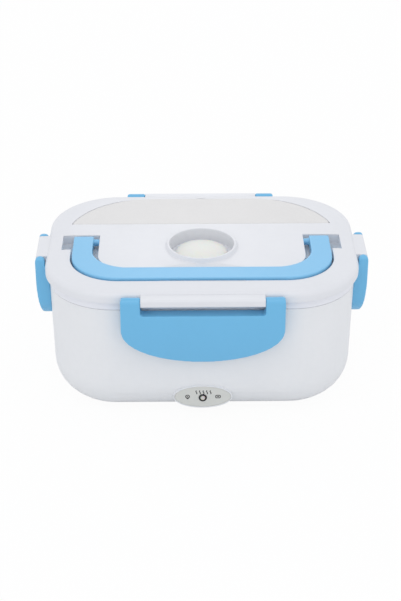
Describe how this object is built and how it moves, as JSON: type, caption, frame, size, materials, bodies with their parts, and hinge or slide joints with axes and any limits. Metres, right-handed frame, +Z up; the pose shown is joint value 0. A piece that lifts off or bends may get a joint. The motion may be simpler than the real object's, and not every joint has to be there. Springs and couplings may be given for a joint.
{
  "type": "electric lunch box",
  "caption": "Rounded casing that warms a lift-out food tray, with a lift-off lid held by swinging latches, a folding carry handle, a steam vent plug and a covered spoon compartment.",
  "frame": {"origin": "on the table under the middle of the box, at the bottom of the rubber feet", "axes": "+Z up, -Y the front with the indicator lamp, +X to the right seen from the front"},
  "size_m": [0.2376, 0.1716, 0.1091],
  "materials": {
    "casing_white": "satin moulded plastic",
    "pot_white": "satin moulded plastic",
    "heater_aluminium": "rolled sheet",
    "element_film": "insulating film over the element",
    "clamp_steel": "bent strip",
    "screw_steel": "zinc plated",
    "fuse_case": "drawn can",
    "lead_red": "silicone sleeve",
    "lead_blue": "silicone sleeve",
    "lead_grey": "silicone sleeve",
    "lamp_lens": "diffusing lens",
    "bezel_black": "moulded plastic",
    "board_green": "laminate with solder resist",
    "plate_grey": "fine grained plate with dark line symbols",
    "inlet_black": "heat resistant plastic",
    "pin_nickel": "nickel plated",
    "foot_rubber": "soft rubber",
    "tray_plastic": "food grade plastic",
    "dish_plastic": "food grade plastic, pale blue",
    "lid_white": "satin moulded plastic",
    "liner_white": "satin moulded plastic",
    "gasket_silicone": "silicone",
    "vent_silicone": "silicone",
    "cover_smoke": "frosted, slightly translucent",
    "handle_blue": "satin moulded plastic",
    "latch_blue": "satin moulded plastic"
  },
  "bodies": {
    "base": {"outer_shell": "casing_white", "warming_pot": "pot_white", "heater_plate": "heater_aluminium", "heating_element": "element_film", "heater_clamp": "clamp_steel", "clamp_screws": "screw_steel", "thermal_fuse": "fuse_case", "live_lead": "lead_red", "neutral_lead": "lead_blue", "lamp_leads": "lead_grey", "indicator_lamp": "lamp_lens", "lamp_bezel": "bezel_black", "lamp_board": "board_green", "lamp_plate": "plate_grey", "power_inlet": "inlet_black", "inlet_pins": "pin_nickel", "rubber_feet": "foot_rubber", "base_screws": "screw_steel"},
    "lid": {"lid_shell": "lid_white", "lid_liner": "liner_white", "lid_gasket": "gasket_silicone"},
    "food_tray": {"food_tray": "tray_plastic"},
    "side_dish_box": {"side_dish_box": "dish_plastic"},
    "carry_handle": {"carry_handle": "handle_blue"},
    "front_latch": {"front_latch": "latch_blue"},
    "back_latch": {"back_latch": "latch_blue"},
    "left_latch": {"left_latch": "latch_blue"},
    "right_latch": {"right_latch": "latch_blue"},
    "vent_plug": {"vent_plug": "vent_silicone"},
    "spoon_cover": {"spoon_cover": "cover_smoke"},
    "inlet_cap": {"inlet_cap": "casing_white"}
  },
  "joints": [
    {"name": "lid_lift", "type": "slide", "parent": "base", "child": "lid", "axis": [0, 0, 1], "range_m": [0, 0.16]},
    {"name": "food_tray_lift", "type": "slide", "parent": "base", "child": "food_tray", "axis": [0, 0, 1], "range_m": [0, 0.08]},
    {"name": "side_dish_box_lift", "type": "slide", "parent": "base", "child": "side_dish_box", "axis": [0, 0, 1], "range_m": [0, 0.152]},
    {"name": "carry_handle_hinge", "type": "hinge", "parent": "lid", "child": "carry_handle", "pos_m": [0, 0.001, 0.1034], "axis": [-1, 0, 0], "range_deg": [0, 90]},
    {"name": "front_latch_hinge", "type": "hinge", "parent": "lid", "child": "front_latch", "pos_m": [0, -0.0823, 0.1002], "axis": [-1, 0, 0], "range_deg": [0, 135]},
    {"name": "back_latch_hinge", "type": "hinge", "parent": "lid", "child": "back_latch", "pos_m": [0, 0.0823, 0.1002], "axis": [1, 0, 0], "range_deg": [0, 135]},
    {"name": "left_latch_hinge", "type": "hinge", "parent": "lid", "child": "left_latch", "pos_m": [-0.1153, -0.003, 0.1002], "axis": [0, 1, 0], "range_deg": [0, 135]},
    {"name": "right_latch_hinge", "type": "hinge", "parent": "lid", "child": "right_latch", "pos_m": [0.1153, -0.003, 0.1002], "axis": [0, -1, 0], "range_deg": [0, 135]},
    {"name": "vent_plug_lift", "type": "slide", "parent": "lid", "child": "vent_plug", "axis": [0, 0, 1], "range_m": [0, 0.004]},
    {"name": "spoon_cover_hinge", "type": "hinge", "parent": "lid", "child": "spoon_cover", "pos_m": [0, 0.0264, 0.1051], "axis": [1, 0, 0], "range_deg": [0, 95]},
    {"name": "inlet_cap_hinge", "type": "hinge", "parent": "base", "child": "inlet_cap", "pos_m": [0, 0.077, 0.0295], "axis": [1, 0, 0], "range_deg": [0, 120]}
  ],
  "couplings": [
    {"joint": "food_tray_lift", "follows": "lid_lift", "ratio": 0.5},
    {"joint": "side_dish_box_lift", "follows": "lid_lift", "ratio": 0.95}
  ]
}
